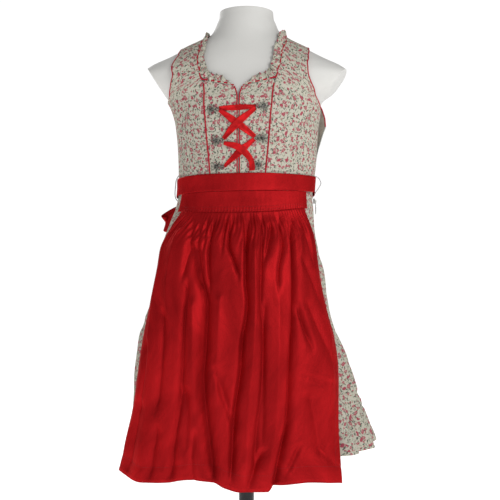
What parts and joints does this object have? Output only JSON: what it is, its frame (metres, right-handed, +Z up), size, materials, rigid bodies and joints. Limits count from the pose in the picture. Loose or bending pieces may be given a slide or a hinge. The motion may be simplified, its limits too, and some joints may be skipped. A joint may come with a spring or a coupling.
{
  "type": "dirndl on dress form",
  "caption": "Sleeveless floral dirndl with a laced bodice, open side zip, red taffeta apron and tied bow, worn by a limbless dress form on a round stand.",
  "frame": {"origin": "centre of the stand's base on the floor", "axes": "+Z up the pole, -Y the way the dress faces, +X the viewer's right and the wearer's left"},
  "size_m": [0.4535, 0.39, 0.981],
  "materials": {
    "form": "smooth satin cover",
    "stand_metal": "black, satin",
    "print": "fine cotton with a small floral print",
    "piping": "covered cord",
    "satin": "satin ribbon",
    "taffeta": "shot taffeta",
    "silver": "antiqued",
    "zip": "woven tape with moulded teeth",
    "hanger": "thin cord"
  },
  "bodies": {
    "dress_and_form": {"form_torso": "form", "stand_pole": "stand_metal", "stand_base": "stand_metal", "bodice_centre_front_left": "print", "bodice_centre_front_right": "print", "bodice_side_front_left": "print", "bodice_side_front_right": "print", "bodice_side_back_left": "print", "bodice_side_back_right": "print", "bodice_back_centre": "print", "neck_ruffle": "print", "skirt": "print", "princess_piping_left": "piping", "princess_piping_right": "piping", "centre_piping_left": "piping", "centre_piping_right": "piping", "neck_piping_left": "piping", "neck_piping_right": "piping", "neck_piping_back": "piping", "armhole_piping_left": "piping", "armhole_piping_right_front": "piping", "armhole_piping_right_back": "piping", "lacing_top": "satin", "lacing_cross_down_right": "satin", "lacing_cross_down_left": "satin", "lacing_low_right": "satin", "lacing_low_left": "satin", "apron_skirt": "taffeta", "apron_waistband": "taffeta", "tie_front": "taffeta", "tie_back": "taffeta", "bow_loop_left": "taffeta", "bow_loop_right": "taffeta", "bow_tail_left": "taffeta", "bow_tail_right": "taffeta", "bow_knot": "taffeta", "hook_top_left": "silver", "hook_top_right": "silver", "hook_middle_left": "silver", "hook_middle_right": "silver", "hook_low_left": "silver", "hook_low_right": "silver", "zip_slider": "silver", "zip_tape_front": "zip", "zip_tape_back": "zip", "hanger_loop_left": "hanger", "hanger_loop_right": "hanger"},
    "pull_tab": {"zip_pull_tab": "silver"}
  },
  "joints": [
    {"name": "pull_tab_hinge", "type": "hinge", "parent": "dress_and_form", "child": "pull_tab", "pos_m": [0.12484, 0.0034, 0.643], "axis": [0, -1, 0], "range_deg": [0, 120]}
  ]
}
